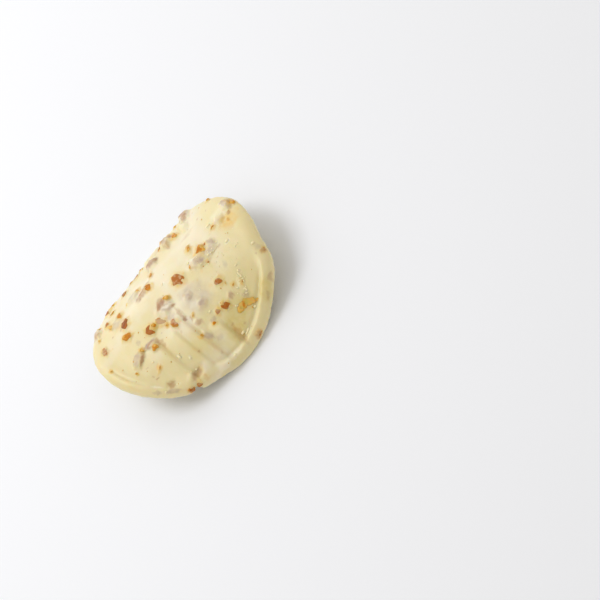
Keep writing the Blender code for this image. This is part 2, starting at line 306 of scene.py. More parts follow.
# Colour shows through where the film of chocolate is thin: a grey lilac or a tan over nuts, an
# amber glow over caramel, a broad honey yellow that is partly painted warm shade on the near
# flank, and milky smears with painted highlight along the lip's crests. Some tan and amber spots
# are painted shade in the troughs of the spatula marks and in a groove behind the lip. A spot is
# its place along and across, its length, its width, its turn in degrees and its strength.
SPOT_REACH = 1.25
SPOT_FADE = 0.75
UNDERSIDE_SHARE = 0.45
LILAC_SPOTS = [
    (-5.2, -1.0, 3.4, 1.8, 30, 0.9),
    (-4.4, -3.2, 5.0, 3.0, -15, 0.55),
    (-5.8, -6.8, 3.0, 4.0, 0, 0.35),
    (12.2, -1.6, 5.5, 4.5, -30, 0.55),
    (13.3, -2.8, 3.0, 1.6, -30, 0.7),
    (17.6, -2.4, 5.5, 3.2, 0, 0.45),
    (19.3, -0.8, 3.2, 2.2, -50, 0.55),
    (26.3, 2.3, 4.0, 3.0, 0, 0.35),
    (31.0, 4.4, 3.0, 4.6, 0, 0.6),
    (2.2, 17.0, 6.0, 5.6, 90, 0.8),
    (-22.4, -6.6, 5.5, 2.6, 25, 0.5),
    (-16.4, -6.7, 4.6, 2.4, -5, 0.95),
    (-16.2, -7.2, 6.0, 2.4, -8, 0.5),
    (-18.3, -3.2, 1.6, 2.0, 0, 0.4),
    (-19.2, 9.6, 4.0, 3.4, 30, 0.45),
    (-18.5, 12.4, 4.0, 2.0, 0, 0.35),
    (-4.0, 11.4, 4.4, 2.0, 0, 0.35),
    (-9.5, 12.8, 5.0, 3.4, 0, 0.3),
    (3.6, -12.0, 2.4, 2.2, 0, 0.6),
    (2.4, -6.9, 2.4, 2.4, 0, 0.45),
    (2.0, -4.5, 5.0, 3.0, 0, 0.2),
    (4.0, -9.5, 10.0, 11.0, 0, 0.3),
    (-22.6, -21.6, 5.0, 1.8, -42, 0.5),
    (10.2, 20.0, 3.0, 6.0, 0, 0.3),
    (20.2, 21.0, 3.0, 6.0, 0, 0.5),
    (2.0, -18.0, 2.0, 2.0, 0, 0.5),
    (-2.8, -19.8, 2.4, 3.4, 0, 0.5),
    (-1.0, -22.6, 2.4, 2.0, 0, 0.3),
    (13.9, -20.7, 2.4, 2.0, 0, 0.5),
    (-26.0, -18.3, 3.0, 1.4, -50, 0.4),
    (-27.4, 5.2, 2.4, 2.6, 0, 0.4),
    (17.0, -9.8, 2.0, 2.4, 0, 0.25),
    (27.3, -14.5, 2.0, 3.0, 0, 0.25),
    (11.0, -17.6, 2.0, 2.0, 0, 0.35),
    (-11.5, -7.7, 0.8, 0.8, 0, 0.6),
]
TAN_AND_SHADE_SPOTS = [
    (-7.0, 9.4, 5.4, 2.4, 12, 0.8),
    (-5.0, -0.6, 4.8, 3.6, 40, 0.75),
    (-5.9, -0.2, 4.8, 0.9, 50, 0.5),
    (-2.8, -4.7, 1.8, 0.9, 10, 0.7),
    (-3.3, -8.2, 1.3, 5.4, 0, 0.4),
    (-3.3, -10.8, 1.6, 2.2, 0, 0.7),
    (-16.0, -6.9, 3.4, 1.5, -5, 0.7),
    (-1.5, -14.8, 2.6, 2.2, 0, 0.55),
    (-2.2, -12.6, 0.7, 2.2, -20, 0.6),
    (-21.4, -8.0, 4.2, 1.1, 32, 0.8),
    # Painted shade in the trough behind a spatula mark.
    (-13.6, -9.4, 1.4, 5.6, 0, 0.45),
    (-25.8, 15.8, 2.4, 5.0, 0, 0.6),
    (-27.9, 16.5, 1.8, 6.0, 0, 0.35),
    (-28.2, 5.8, 0.7, 2.4, 0, 0.6),
    (-26.9, 4.9, 0.7, 3.0, -25, 0.6),
    (2.2, 17.4, 4.8, 5.0, 0, 0.7),
    (3.9, 16.0, 0.9, 2.6, -25, 0.6),
    (1.8, 19.6, 1.0, 2.0, 0, 0.5),
    (9.4, 17.5, 2.4, 7.0, 0, 0.5),
    (9.6, 22.5, 3.4, 7.0, 0, 0.6),
    (12.0, 20.5, 1.8, 5.0, 12, 0.6),
    (20.0, 21.5, 3.4, 7.0, 0, 0.85),
    (17.6, 20.5, 0.8, 4.0, 0, 0.4),
    (20.0, -4.2, 2.0, 1.2, 0, 0.4),
    (30.0, 0.8, 1.6, 1.6, 0, 0.7),
    (31.5, 1.6, 3.0, 2.0, 0, 0.3),
    (32.9, 4.0, 1.6, 4.0, 0, 0.5),
    (27.3, -16.8, 1.8, 1.8, 0, 0.45),
    (25.6, -16.0, 0.7, 0.9, 0, 0.5),
    (10.9, -17.6, 2.4, 2.2, 0, 0.4),
    (7.0, -31.0, 3.2, 1.4, 5, 0.6),
    # The next two spots colour the dents.
    (-21.0, -20.2, 2.8, 2.6, 0, 0.5),
    (-14.0, -24.2, 4.4, 2.4, 10, 0.55),
    (-12.8, -26.6, 1.6, 2.0, 0, 0.15),
    # This spot colours a dent.
    (3.4, -26.4, 3.0, 6.0, -10, 0.25),
    (4.1, -23.1, 1.6, 0.7, 10, 0.5),
    (6.9, -25.6, 1.0, 1.0, 0, 0.35),
    # The next two spots are painted shade in the groove behind the lip.
    (18.0, -26.2, 3.0, 1.6, 35, 0.35),
    (22.6, -23.4, 3.0, 1.4, 45, 0.35),
    (16.0, 10.5, 6.0, 1.6, 5, 0.15),
    (25.7, 10.4, 0.9, 1.0, 0, 0.35),
    (21.9, 11.3, 1.0, 1.2, 0, 0.3),
    (-22.9, 7.0, 0.5, 0.9, 30, 0.6),
    (-19.3, 6.4, 0.7, 1.0, 0, 0.6),
    (-16.9, 8.9, 0.8, 0.8, 0, 0.6),
    (-26.0, 12.0, 0.5, 0.9, 0, 0.6),
    (-7.3, -12.6, 0.7, 0.7, 0, 0.35),
    (-8.5, -20.6, 0.8, 0.8, 0, 0.5),
    (-22.3, -15.7, 0.9, 0.9, 0, 0.5),
    (-22.9, -14.5, 0.8, 0.6, 0, 0.5),
    (-22.2, -11.0, 0.8, 0.6, 0, 0.4),
    (-4.3, -25.6, 1.4, 1.4, 0, 0.25),
]
# A broad honey yellow, partly painted warm shade, most of it on the shaded near flank.
HONEY_AND_SHADE_SPOTS = [
    (17.0, -16.5, 11.0, 9.0, -40, 0.15),
    (8.5, -22.5, 16.0, 8.0, 12, 0.65),
    (3.8, -25.5, 7.0, 6.0, 0, 0.6),
    (-5.0, -20.5, 12.0, 12.0, 0, 0.35),
    (-9.0, -27.5, 9.0, 5.0, 0, 0.3),
    (-6.5, -31.2, 16.0, 3.6, 0, 0.4),
    (18.8, -24.5, 9.0, 5.0, 50, 0.6),
    (-11.0, 3.5, 18.0, 10.0, 0, 0.2),
]
AMBER_AND_SHADE_SPOTS = [
    (28.0, -0.9, 7.2, 6.6, 0, 0.6),
    (28.2, -0.8, 2.4, 2.6, 0, 0.35),
    (32.0, -0.8, 1.4, 2.4, 0, 0.4),
    (12.0, -22.8, 7.4, 4.0, -25, 0.55),
    (2.1, 0.2, 1.2, 2.0, 0, 0.7),
    (16.8, 1.0, 1.8, 1.4, 0, 0.5),
    # This spot yellows the groove behind the left lip.
    (-29.3, -8.0, 1.0, 8.0, 0, 0.25),
    (2.0, -5.9, 1.2, 1.0, 0, 0.5),
    (7.6, -6.3, 0.8, 0.8, 0, 0.3),
    (6.7, -5.1, 0.8, 0.8, 0, 0.3),
    (9.2, -10.4, 0.9, 2.2, 0, 0.35),
    (11.0, -5.0, 1.0, 1.6, 0, 0.3),
    (-20.8, -13.9, 3.4, 1.2, 35, 0.3),
    # The next two spots colour the dents.
    (-13.2, -24.4, 5.0, 2.6, 15, 0.35),
    (-21.0, -20.2, 3.0, 2.4, 0, 0.3),
    (-12.8, -26.6, 2.0, 2.4, 0, 0.35),
    # This spot colours a dent.
    (3.6, -26.5, 2.4, 7.0, -8, 0.4),
    # The next four long streaks are painted shade in the troughs behind the spatula marks.
    (-13.6, -9.6, 1.6, 6.5, 0, 0.35),
    (-3.8, -21.0, 1.6, 16.0, 0, 0.2),
    (-8.2, -18.0, 1.6, 14.0, 0, 0.12),
    (-14.2, -12.0, 1.8, 10.0, 0, 0.2),
    (24.3, 5.2, 0.8, 1.2, 0, 0.3),
]
MILK_AND_HIGHLIGHT_SPOTS = [
    (27.5, 4.0, 9.0, 5.0, 0, 0.3),
    (9.8, 0.2, 6.0, 5.0, 0, 0.35),
    # Painted highlight along the crest of the near lip.
    (-5.5, -29.0, 13.0, 2.2, 0, 0.3),
    (2.0, -10.2, 3.4, 2.4, 0, 0.35),
    (-4.3, -3.3, 4.0, 1.2, -25, 0.6),
    (22.8, -5.6, 2.2, 1.4, 0, 0.5),
    (-0.2, 4.2, 1.8, 0.7, 40, 0.8),
    (22.7, 4.4, 2.4, 0.8, 0, 0.7),
    (-13.3, -16.8, 0.8, 1.6, 0, 0.7),
    (-11.5, -19.5, 0.9, 1.2, 0, 0.5),
    (12.0, 0.6, 3.0, 1.6, -20, 0.5),
    (-2.5, 12.6, 2.6, 1.2, 0, 0.5),
    # Painted highlight along the crest of the lower-left lip.
    (-24.6, -17.2, 4.4, 0.7, -52, 0.5),
]

# Each bare chip has a halo of amber around it, and every spot's outline wanders: each fringe is
# how far it strays and the size of its swings.
HALO = 0.38
CARAMEL_HALO = 0.8
NUT_HALO = 0.65
FRINGES = ((0.7, 2.2), (0.35, 0.8))
FRINGE_LAYER_X = 11.0
FRINGE_LAYER_Y = 17.0


def smooth(share):
    """A soft step from 0 to 1."""
    share = np.clip(share, 0.0, 1.0)
    return share * share * (3.0 - 2.0 * share)


def hill(offset, width):
    """A round-topped ridge, 1 at its crest."""
    return np.exp(-((offset / width) ** 2))


def relief(x, y, size, layer=0.0):
    """Soft random relief from about -1 to 1, with lumps of about the given size."""
    places = zip(x / size, y / size)
    return np.array([noise.noise(Vector((u, v, layer))) for u, v in places])


def from_middle(x, y, spot):
    """How far points lie from a chip's middle, as a share of the way to its blunt corners."""
    along, across, length, width, turn = spot[:5]
    dx, dy = x - along, y - across
    cosine, sine = math.cos(math.radians(turn)), math.sin(math.radians(turn))
    long_way = 2.0 * (dx * cosine + dy * sine) / length
    wide_way = 2.0 * (dy * cosine - dx * sine) / width
    bearing = np.arctan2(wide_way, long_way) + along + across
    from_side = np.remainder(bearing, 2 * math.pi / CHIP_CORNERS) - math.pi / CHIP_CORNERS
    return np.hypot(long_way, wide_way) * np.cos(from_side) / CHIP_FULLNESS


def rim_radius(bearing):
    """How far the round's edge lies from its middle, at a bearing from the ridge."""
    reach = DISC_RADIUS + RIM_OVAL * np.cos(2.0 * bearing)
    for middle, lobe_spread, height in RIM_LOBES:
        reach = reach + height * hill(np.degrees(bearing) - middle, lobe_spread)
    for fray, tightness in EDGE_FRAYS:
        around = zip(np.cos(bearing), np.sin(bearing))
        ups = [noise.noise(Vector((u, v, FRAY_LAYER)) * tightness) for u, v in around]
        reach = reach + fray * np.array(ups)
    return reach


def spatula_marks(x, y):
    """The slow rise to each mark, and the drop behind it."""
    height = np.zeros_like(x)
    for place, near_end, far_end, crest in SPATULA_MARKS:
        offset = x - place
        reach = smooth((y - near_end) / MARK_FADE) * smooth((far_end - y) / MARK_FADE)
        profile = smooth(1.0 + offset / MARK_RISE) * smooth(1.0 - offset / MARK_DROP)
        height += crest * reach * profile
    return height


def thickness(x, y):
    """The flat round's height over its smooth underside."""
    bearing = np.arctan2(y, x)
    inset = rim_radius(bearing) - np.hypot(x, y)
    degrees = np.degrees(bearing)
    ridge_end = smooth((np.cos(bearing) - RIDGE_END_COSINE) / RIDGE_END_FADE)
    curl = 1.0 - np.clip(inset / (SHOULDER + RIDGE_END_SHOULDER * ridge_end), 0.0, 1.0)
    height = EDGE + (PLATEAU - EDGE) * np.sqrt(1.0 - curl**2)
    near_share = smooth(LIP_FULL_BELOW - np.sin(bearing))
    lip_share = LIP_FAR_SHARE + (1.0 - LIP_FAR_SHARE) * near_share
    lip_share *= 1.0 - RIDGE_END_LOSS * ridge_end
    start, end = LIP_CRISP_ARC
    crisp = smooth((degrees - start) / LIP_FADE) * smooth((end - degrees) / LIP_FADE)
    inner_width = LIP_INNER_WIDTH + (LIP_CRISP_WIDTH - LIP_INNER_WIDTH) * crisp
    beyond = inset - LIP_INSET - LIP_CRISP_SHIFT * crisp
    lip_width = np.where(beyond < 0, LIP_OUTER_WIDTH + LIP_CRISP_SHIFT * crisp, inner_width)
    height += lip_share * LIP_HEIGHT * hill(beyond, lip_width)
    for middle, half_arc, groove_inset, width, depth in GROOVES:
        off_arc = np.abs(np.remainder(degrees - middle + HALF_TURN, 2 * HALF_TURN) - HALF_TURN)
        groove_share = smooth((half_arc - off_arc) / LIP_FADE)
        height -= groove_share * depth * hill(inset - groove_inset, width)
    for dent in DENTS:
        height -= dent[5] * smooth((DENT_REACH - from_middle(x, y, dent)) / DENT_FADE)
    height += smooth(inset / RIM_ZONE) * WAVE_HEIGHT * relief(x, y, WAVE_LENGTH)
    height += spatula_marks(x, y)
    swelling = np.zeros_like(x)
    for nut in COVERED_NUTS:
        swell = nut[5] * smooth((SWELLING_REACH - from_middle(x, y, nut)) / SWELLING_FADE)
        swelling = np.maximum(swelling, swell)
    return height + smooth(inset / SHOULDER) * swelling


def spots(x, y, marks):
    """How much of the surface a list of soft spots covers, from 0 to 1."""
    clear = np.ones_like(x)
    for mark in marks:
        clear *= 1.0 - mark[5] * smooth((SPOT_REACH - from_middle(x, y, mark)) / SPOT_FADE)
    return 1.0 - clear


def mesh_points(mesh):
    """The mesh's points, as rows of x, y and z."""
    flat = np.empty(len(mesh.vertices) * 3)
    mesh.vertices.foreach_get("co", flat)
    return flat.reshape(-1, 3)


def bent(points):
    """Bends flat points, in millimetres, over the bar, and gives them in metres."""
    angle = points[:, 1] / BEND_RADIUS
    reach = (BAR_RADIUS + points[:, 2]) * MM
    return np.column_stack((points[:, 0] * MM, reach * np.sin(angle), reach * np.cos(angle)))


# The grid gets a second sheet above it, closed around the edge: the underside and the top.
bpy.ops.object.select_all(action="DESELECT")
bpy.ops.mesh.primitive_grid_add(
    x_subdivisions=ROUND_SQUARES, y_subdivisions=ROUND_SQUARES, size=2.0
)
chocolate = bpy.context.object
chocolate.name = "chocolate_round"
bpy.ops.object.mode_set(mode="EDIT")
bpy.ops.mesh.select_all(action="SELECT")
bpy.ops.mesh.extrude_region_move(TRANSFORM_OT_translate={"value": (0.0, 0.0, 1.0)})
bpy.ops.object.mode_set(mode="OBJECT")

# Each square ring of the grid becomes a ring of the round, and the outer ones lie closer.
points = mesh_points(chocolate.data)
on_top = points[:, 2] > 0.5
square_x, square_y = points[:, 0], points[:, 1]
share = np.maximum(np.abs(square_x), np.abs(square_y))
leads = np.abs(square_x) >= np.abs(square_y)
lead = np.where(leads, square_x, square_y)
follow = np.where(leads, square_y, -square_x)
bearing = math.pi / 4 * follow / np.where(share > 0, lead, 1.0)
bearing += np.where(leads, 0.0, math.pi / 2) + np.where(lead < 0, math.pi, 0.0)
bearing = np.remainder(bearing + math.pi, 2 * math.pi) - math.pi
rim_reach = rim_radius(bearing)
inner_share = 1.0 - RIM_RING_SHARE
inner_reach = (rim_reach - RIM_ZONE) * share / inner_share
outer_reach = rim_reach - RIM_ZONE + RIM_ZONE * (share - inner_share) / RIM_RING_SHARE
reach = np.where(share <= inner_share, inner_reach, outer_reach)
flat_x, flat_y = reach * np.cos(bearing), reach * np.sin(bearing)

top_height = thickness(flat_x, flat_y)
for chip in BARE_CHIPS:
    collar = smooth((COLLAR_REACH - from_middle(flat_x, flat_y, chip)) / COLLAR_FADE)
    top_height += MENISCUS * chip[5] * collar
top_height += LUMP_HEIGHT * relief(flat_x, flat_y, LUMP_SIZE, LUMP_LAYER)

fringe_x, fringe_y = flat_x, flat_y
for shift, size in FRINGES:
    fringe_x = fringe_x + shift * relief(flat_x, flat_y, size, FRINGE_LAYER_X)
    fringe_y = fringe_y + shift * relief(flat_x, flat_y, size, FRINGE_LAYER_Y)
halos = []
for kind, strength in ((CARAMEL_CHIPS, CARAMEL_HALO), (ROASTED_CHIPS, NUT_HALO)):
    for chip in kind:
        along, across, length, width, turn = chip[:5]
        spread = HALO * (1.0 + length)
        halos.append((along, across, length + spread, width + spread, turn, strength))
stains = {
    "lilac": LILAC_SPOTS,
    "tan_and_shade": TAN_AND_SHADE_SPOTS,
    "honey_and_shade": HONEY_AND_SHADE_SPOTS,
    "amber_and_shade": AMBER_AND_SHADE_SPOTS + halos,
    "milk_and_highlight": MILK_AND_HIGHLIGHT_SPOTS,
}
for name, marks in stains.items():
    cover = spots(fringe_x, fringe_y, marks) * np.where(on_top, 1.0, UNDERSIDE_SHARE)
    layer = chocolate.data.attributes.new(name, "FLOAT", "POINT")
    layer.data.foreach_set("value", cover.astype(np.float32))

# The arch is cut off flat where its rim is worn on each side, and stands on those two spots,
# with the middle of its box over the origin.
flat_points = np.column_stack((flat_x, flat_y, np.where(on_top, top_height, 0.0)))
arched = bent(flat_points)
chocolate.data.vertices.foreach_set("co", arched.ravel())
floor_level = arched[:, 2].min() + FOOT_WEAR * MM
bpy.ops.object.mode_set(mode="EDIT")
bpy.ops.mesh.select_all(action="SELECT")
bpy.ops.mesh.bisect(
    plane_co=(0.0, 0.0, floor_level),
    plane_no=(0.0, 0.0, -1.0),
    use_fill=True,
    clear_outer=True,
    threshold=CUT_PRECISION,
)
bpy.ops.mesh.select_all(action="SELECT")
bpy.ops.mesh.normals_make_consistent(inside=False)
bpy.ops.object.mode_set(mode="OBJECT")
points = mesh_points(chocolate.data)
middle = (points.min(axis=0) + points.max(axis=0)) / 2
stand = np.array((-middle[0], -middle[1], -floor_level))
chocolate.data.vertices.foreach_set("co", (points + stand).ravel())
chocolate.data.update()
bpy.ops.object.shade_smooth_by_angle(angle=math.radians(CREASE_ANGLE))


class Wire:
    """A node's output, with which sums can be written."""

    def __init__(self, finish, socket):
        self.finish = finish
        self.socket = socket

    def maths(self, operation, first, second):
        settings = {"operation": operation}
        return self.finish.node("ShaderNodeMath", settings, {0: first, 1: second})

    def __add__(self, other):
        return self.maths("ADD", self, other)

    def __radd__(self, other):
        return self.maths("ADD", other, self)

    def __sub__(self, other):
        return self.maths("SUBTRACT", self, other)

    def __rsub__(self, other):
        return self.maths("SUBTRACT", other, self)

    def __mul__(self, other):
        return self.maths("MULTIPLY", self, other)

    def __rmul__(self, other):
        return self.maths("MULTIPLY", other, self)


class Finish:
    """A material that is being mixed: its nodes, and the sockets of its surface."""

    def __init__(self, name):
        self.material = bpy.data.materials.new(name)
        self.material.use_nodes = True
        self.nodes = self.material.node_tree.nodes
        self.links = self.material.node_tree.links
        self.surface = self.nodes["Principled BSDF"].inputs

    def feed(self, socket, value):
        """Links a wire to a socket, or sets the socket's own value."""
        if isinstance(value, Wire):
            self.links.new(value.socket, socket)
        else:
            socket.default_value = value

    def node(self, kind, settings, sockets, out=0):
        """Adds a node: first its settings, then its sockets. Gives the wire of one output."""
        made = self.nodes.new(kind)
        for name, value in settings.items():
            setattr(made, name, value)
        for name, value in sockets.items():
            self.feed(made.inputs[name], value)
        return Wire(self, made.outputs[out])

    def place(self):
        """The place on the piece, in metres."""
        return self.node("ShaderNodeTexCoord", {}, {}, "Object")

    def stain(self, name):
        """How strong a stain of the mesh is here."""
        return self.node("ShaderNodeAttribute", {"attribute_name": name}, {}, "Fac")

    def clouds(self, place, size, detail=2.0):
        """Soft noise around a half, with clouds of the given size in metres."""
        sockets = {"Vector": place, "Scale": 1.0 / size, "Detail": detail}
        return self.node("ShaderNodeTexNoise", {}, sockets, "Fac")

    def step(self, value, low, high):
        """Takes a value from low to high onto a soft step from 0 to 1."""
        settings = {"interpolation_type": "SMOOTHSTEP"}
        sockets = {"Value": value, "From Min": low, "From Max": high}
        return self.node("ShaderNodeMapRange", settings, sockets)

    def blend(self, share, first, second):
        """Mixes two colours."""
        sockets = {0: share, 6: first, 7: second}
        return self.node("ShaderNodeMix", {"data_type": "RGBA"}, sockets, 2)

    def bump(self, height, strength, depth):
        """Turns a height into small relief on the surface."""
        sockets = {"Height": height, "Strength": strength, "Distance": depth}
        self.feed(self.surface["Normal"], self.node("ShaderNodeBump", {}, sockets))


# The butter yellow and the ivory also paint warm shade and light; the honey, tan, amber and
# milky colours below are partly painted shade and highlight.
CREAM = (0.83, 0.757, 0.56, 1.0)
BUTTER_AND_SHADE_YELLOW = (0.80, 0.705, 0.41, 1.0)
IVORY_AND_PAINTED_LIGHT = (0.90, 0.83, 0.63, 1.0)
GREY_LILAC = (0.46, 0.34, 0.27, 1.0)
NUT_TAN_AND_SHADE = (0.46, 0.25, 0.12, 1.0)
HONEY_AND_SHADE_YELLOW = (0.72, 0.60, 0.24, 1.0)
GOLD = (0.80, 0.55, 0.16, 1.0)
DEEP_AMBER = (0.60, 0.30, 0.04, 1.0)
MILK_AND_HIGHLIGHT_WHITE = (0.95, 0.91, 0.78, 1.0)

# The chocolate is painted yellower towards the near side and the ridge's ends, as painted warm
# shade, and paler on the far side, as painted light. Slow clouds vary its own tone at random,
# and the stains are broken up by small clouds. Cloud and light sizes are in metres.
SLOW_CLOUD = 0.014
SMALL_CLOUD = 0.0016
FINE_CLOUD = 0.0006
FINE_DETAIL = 3.0
LEAST_STAIN = 0.2
STAIN_SWING = 1.6
NEAR_SIDE_SHADE_YELLOWING = 3.4
END_SHADE_YELLOWING = 7.0
LEFT_SHARE = -0.7
BUTTER_AND_SHADE_STEP = (0.42, 0.68)
IVORY_AND_LIGHT_STEP = (0.48, 0.30)
IVORY_AND_LIGHT_SHARE = 0.6
DEEP_STEP = (0.75, 1.1)
SATIN = 0.30
SATIN_SWING = 0.16
FINE_SHARE = 0.5
SKIN_STRENGTH = 0.25
SKIN_DEPTH = 0.0001
LIGHT_SPREAD = (1.0, 0.75, 0.45)
LIGHT_DEPTH = 0.0012
CHOCOLATE_IOR = 1.45

glaze = Finish("white_chocolate")
spot_place = glaze.place()
slow_clouds = glaze.clouds(spot_place, SLOW_CLOUD)
small_clouds = glaze.clouds(spot_place, SMALL_CLOUD)
fine_clouds = glaze.clouds(spot_place, FINE_CLOUD, FINE_DETAIL)
broken = LEAST_STAIN + STAIN_SWING * small_clouds
along_round = glaze.node("ShaderNodeSeparateXYZ", {}, {"Vector": spot_place}, "X")
across_round = glaze.node("ShaderNodeSeparateXYZ", {}, {"Vector": spot_place}, "Y")
toward_ends = along_round.maths("MAXIMUM", along_round, LEFT_SHARE * along_round)
# Yellower towards the near side and the ends is painted warm shade, and paler on the far side is
# painted light.
warmth_and_painted_shading = slow_clouds - NEAR_SIDE_SHADE_YELLOWING * across_round + END_SHADE_YELLOWING * toward_ends
colour = glaze.blend(glaze.step(warmth_and_painted_shading, *BUTTER_AND_SHADE_STEP), CREAM, BUTTER_AND_SHADE_YELLOW)
colour = glaze.blend(glaze.step(warmth_and_painted_shading, *IVORY_AND_LIGHT_STEP) * IVORY_AND_LIGHT_SHARE, colour, IVORY_AND_PAINTED_LIGHT)
# The honey stain is partly painted warm shade.
colour = glaze.blend(glaze.stain("honey_and_shade") * broken, colour, HONEY_AND_SHADE_YELLOW)
# The amber stain is partly painted shade in the spatula marks' troughs.
amber_and_shade = glaze.stain("amber_and_shade")
amber_and_shade_colour = glaze.blend(glaze.step(amber_and_shade, *DEEP_STEP), GOLD, DEEP_AMBER)
colour = glaze.blend(amber_and_shade * broken, colour, amber_and_shade_colour)
colour = glaze.blend(glaze.stain("lilac") * broken, colour, GREY_LILAC)
# The tan stain is partly painted shade in a trough and in the groove behind the lip.
colour = glaze.blend(glaze.stain("tan_and_shade") * broken, colour, NUT_TAN_AND_SHADE)
# The milky stain is partly painted highlight along the lip's crests.
colour = glaze.blend(glaze.stain("milk_and_highlight") * broken, colour, MILK_AND_HIGHLIGHT_WHITE)
glaze.feed(glaze.surface["Base Color"], colour)
glaze.feed(glaze.surface["Roughness"], SATIN + SATIN_SWING * small_clouds)
glaze.surface["Subsurface Weight"].default_value = 1.0
glaze.surface["Subsurface Radius"].default_value = LIGHT_SPREAD
glaze.surface["Subsurface Scale"].default_value = LIGHT_DEPTH
glaze.surface["IOR"].default_value = CHOCOLATE_IOR
glaze.bump(small_clouds + FINE_SHARE * fine_clouds, SKIN_STRENGTH, SKIN_DEPTH)
chocolate.data.materials.append(glaze.material)
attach(chocolate, "root")
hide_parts("tuile")


# Chopped nuts, roasted red-brown with a thin glaze of caramel, set in the chocolate so that
# their tops stand bare. Each way of breaking is cut once from a ball, and its copies are sized,
# turned and bent with the round.
NUT_SEED = 3
CHIP_DEPTH = 1.3
CHIP_TILT = math.radians(6)
CHIP_SPREAD = 1.15
LEAN_REACH = 1.0
CRUMPLE = 0.14
CRUMPLE_SIZE = 1.1
CRUMPLE_LAYERS = (23.0, 28.0, 33.0)
CHIP_CREASE = 30
BALL_ROUNDS = 3
MERGING = 0.02
SKIN_SQUARE = 0.13
MELTING = 0.5
MELTING_ROUNDS = 5

# A chip glows along its outline, and the chocolate laps its sides below a share of its height.
GLOW_WIDTH = 0.9
LAP_START = 0.32
LAP_FADE = 0.3

# A cut is its bearing and its lean in degrees, and its distance from the middle of the ball,
# whose radius is one.
BREAK_CUTS = {
    "block": (
        (10, 5, 0.72),
        (80, 12, 0.62),
        (150, 0, 0.75),
        (215, 10, 0.66),
        (290, 8, 0.6),
        (0, 82, 0.5),
    ),
    "shield": ((90, 5, 0.55), (210, 12, 0.5), (330, 10, 0.5), (150, 5, 0.8), (40, 78, 0.55)),
    "wedge": ((60, 8, 0.42), (180, 14, 0.42), (300, 8, 0.42), (200, 80, 0.5)),
    "shard": ((30, 10, 0.5), (140, 5, 0.7), (200, 10, 0.5), (300, 0, 0.75), (90, 75, 0.55)),
    "pebble": ((20, 30, 0.82), (140, 20, 0.85), (260, 25, 0.8), (0, 88, 0.78)),
}


def cut_ball(name, cuts, rounds):
    """Cuts a ball by planes, and gives what is left of it."""
    bpy.ops.object.select_all(action="DESELECT")
    bpy.ops.mesh.primitive_ico_sphere_add(subdivisions=rounds, radius=1.0)
    chip = bpy.context.object
    chip.name = name
    bpy.ops.object.mode_set(mode="EDIT")
    for bearing, lean, distance in cuts:
        outward = math.cos(math.radians(lean))
        normal = Vector(
            (
                outward * math.cos(math.radians(bearing)),
                outward * math.sin(math.radians(bearing)),
                math.sin(math.radians(lean)),
            )
        )
        bpy.ops.mesh.select_all(action="SELECT")
        bpy.ops.mesh.bisect(
            plane_co=normal * distance, plane_no=normal, use_fill=True, clear_outer=True
        )
    bpy.ops.mesh.select_all(action="SELECT")
    bpy.ops.mesh.remove_doubles(threshold=MERGING)
    bpy.ops.object.mode_set(mode="OBJECT")
    return chip


def melt(chip):
    """Gives a cut ball an even skin, and melts its edges a little."""
    skin = chip.modifiers.new("skin", "REMESH")
    skin.mode = "VOXEL"
    skin.voxel_size = SKIN_SQUARE
    bpy.ops.object.modifier_apply(modifier=skin.name)
    melting = chip.modifiers.new("melting", "SMOOTH")
    melting.factor = MELTING
    melting.iterations = MELTING_ROUNDS
    bpy.ops.object.modifier_apply(modifier=melting.name)


def at_unit_size(chip):
    """Brings a chip to a size of one each way, around the origin."""
    points = mesh_points(chip.data)
    low, high = points.min(axis=0), points.max(axis=0)
    points = (points - (low + high) / 2) / (high - low)
    chip.data.vertices.foreach_set("co", points.ravel())


def copy_at(source, matrix, tone):
    """A copy with its own mesh, placed by a matrix. The mesh keeps a tone, and an edge that is 1
    along its outline and 1 more low on its sides, where the chocolate laps them."""
    piece = source.copy()
    piece.data = source.data.copy()
    piece.matrix_world = matrix
    points = mesh_points(piece.data)
    half_size = (matrix.to_scale().x + matrix.to_scale().y) / 4
    from_outline = (1.0 - 2.0 * np.hypot(points[:, 0], points[:, 1])) * half_size
    lapped = smooth((LAP_START - points[:, 2]) / LAP_FADE)
    edge = smooth(1.0 - from_outline / GLOW_WIDTH) + lapped
    for layer_name, values in (("tone", np.full(len(points), tone)), ("edge", edge)):
        layer = piece.data.attributes.new(layer_name, "FLOAT", "POINT")
        layer.data.foreach_set("value", values.astype(np.float32))
    bpy.context.scene.collection.objects.link(piece)
    return piece


def join_and_bend(pieces, name, crease):
    """Joins flat pieces into one, crumples and bends it with the round, and lets it ride."""
    bpy.ops.object.select_all(action="DESELECT")
    for piece in pieces:
        piece.select_set(True)
    whole = pieces[0]
    bpy.context.view_layer.objects.active = whole
    bpy.ops.object.join()
    bpy.ops.object.transform_apply(location=True, rotation=True, scale=True)
    whole.name = name
    points = mesh_points(whole.data)
    x, y = points[:, 0].copy(), points[:, 1].copy()
    for axis, layer in enumerate(CRUMPLE_LAYERS):
        points[:, axis] += CRUMPLE * relief(x, y, CRUMPLE_SIZE, layer)
    points = bent(points) + stand
    points[:, 2] = np.maximum(points[:, 2], 0.0)
    whole.data.vertices.foreach_set("co", points.ravel())
    whole.data.update()
    bpy.ops.object.shade_smooth_by_angle(angle=math.radians(crease))
    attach(whole, "root")
    return whole


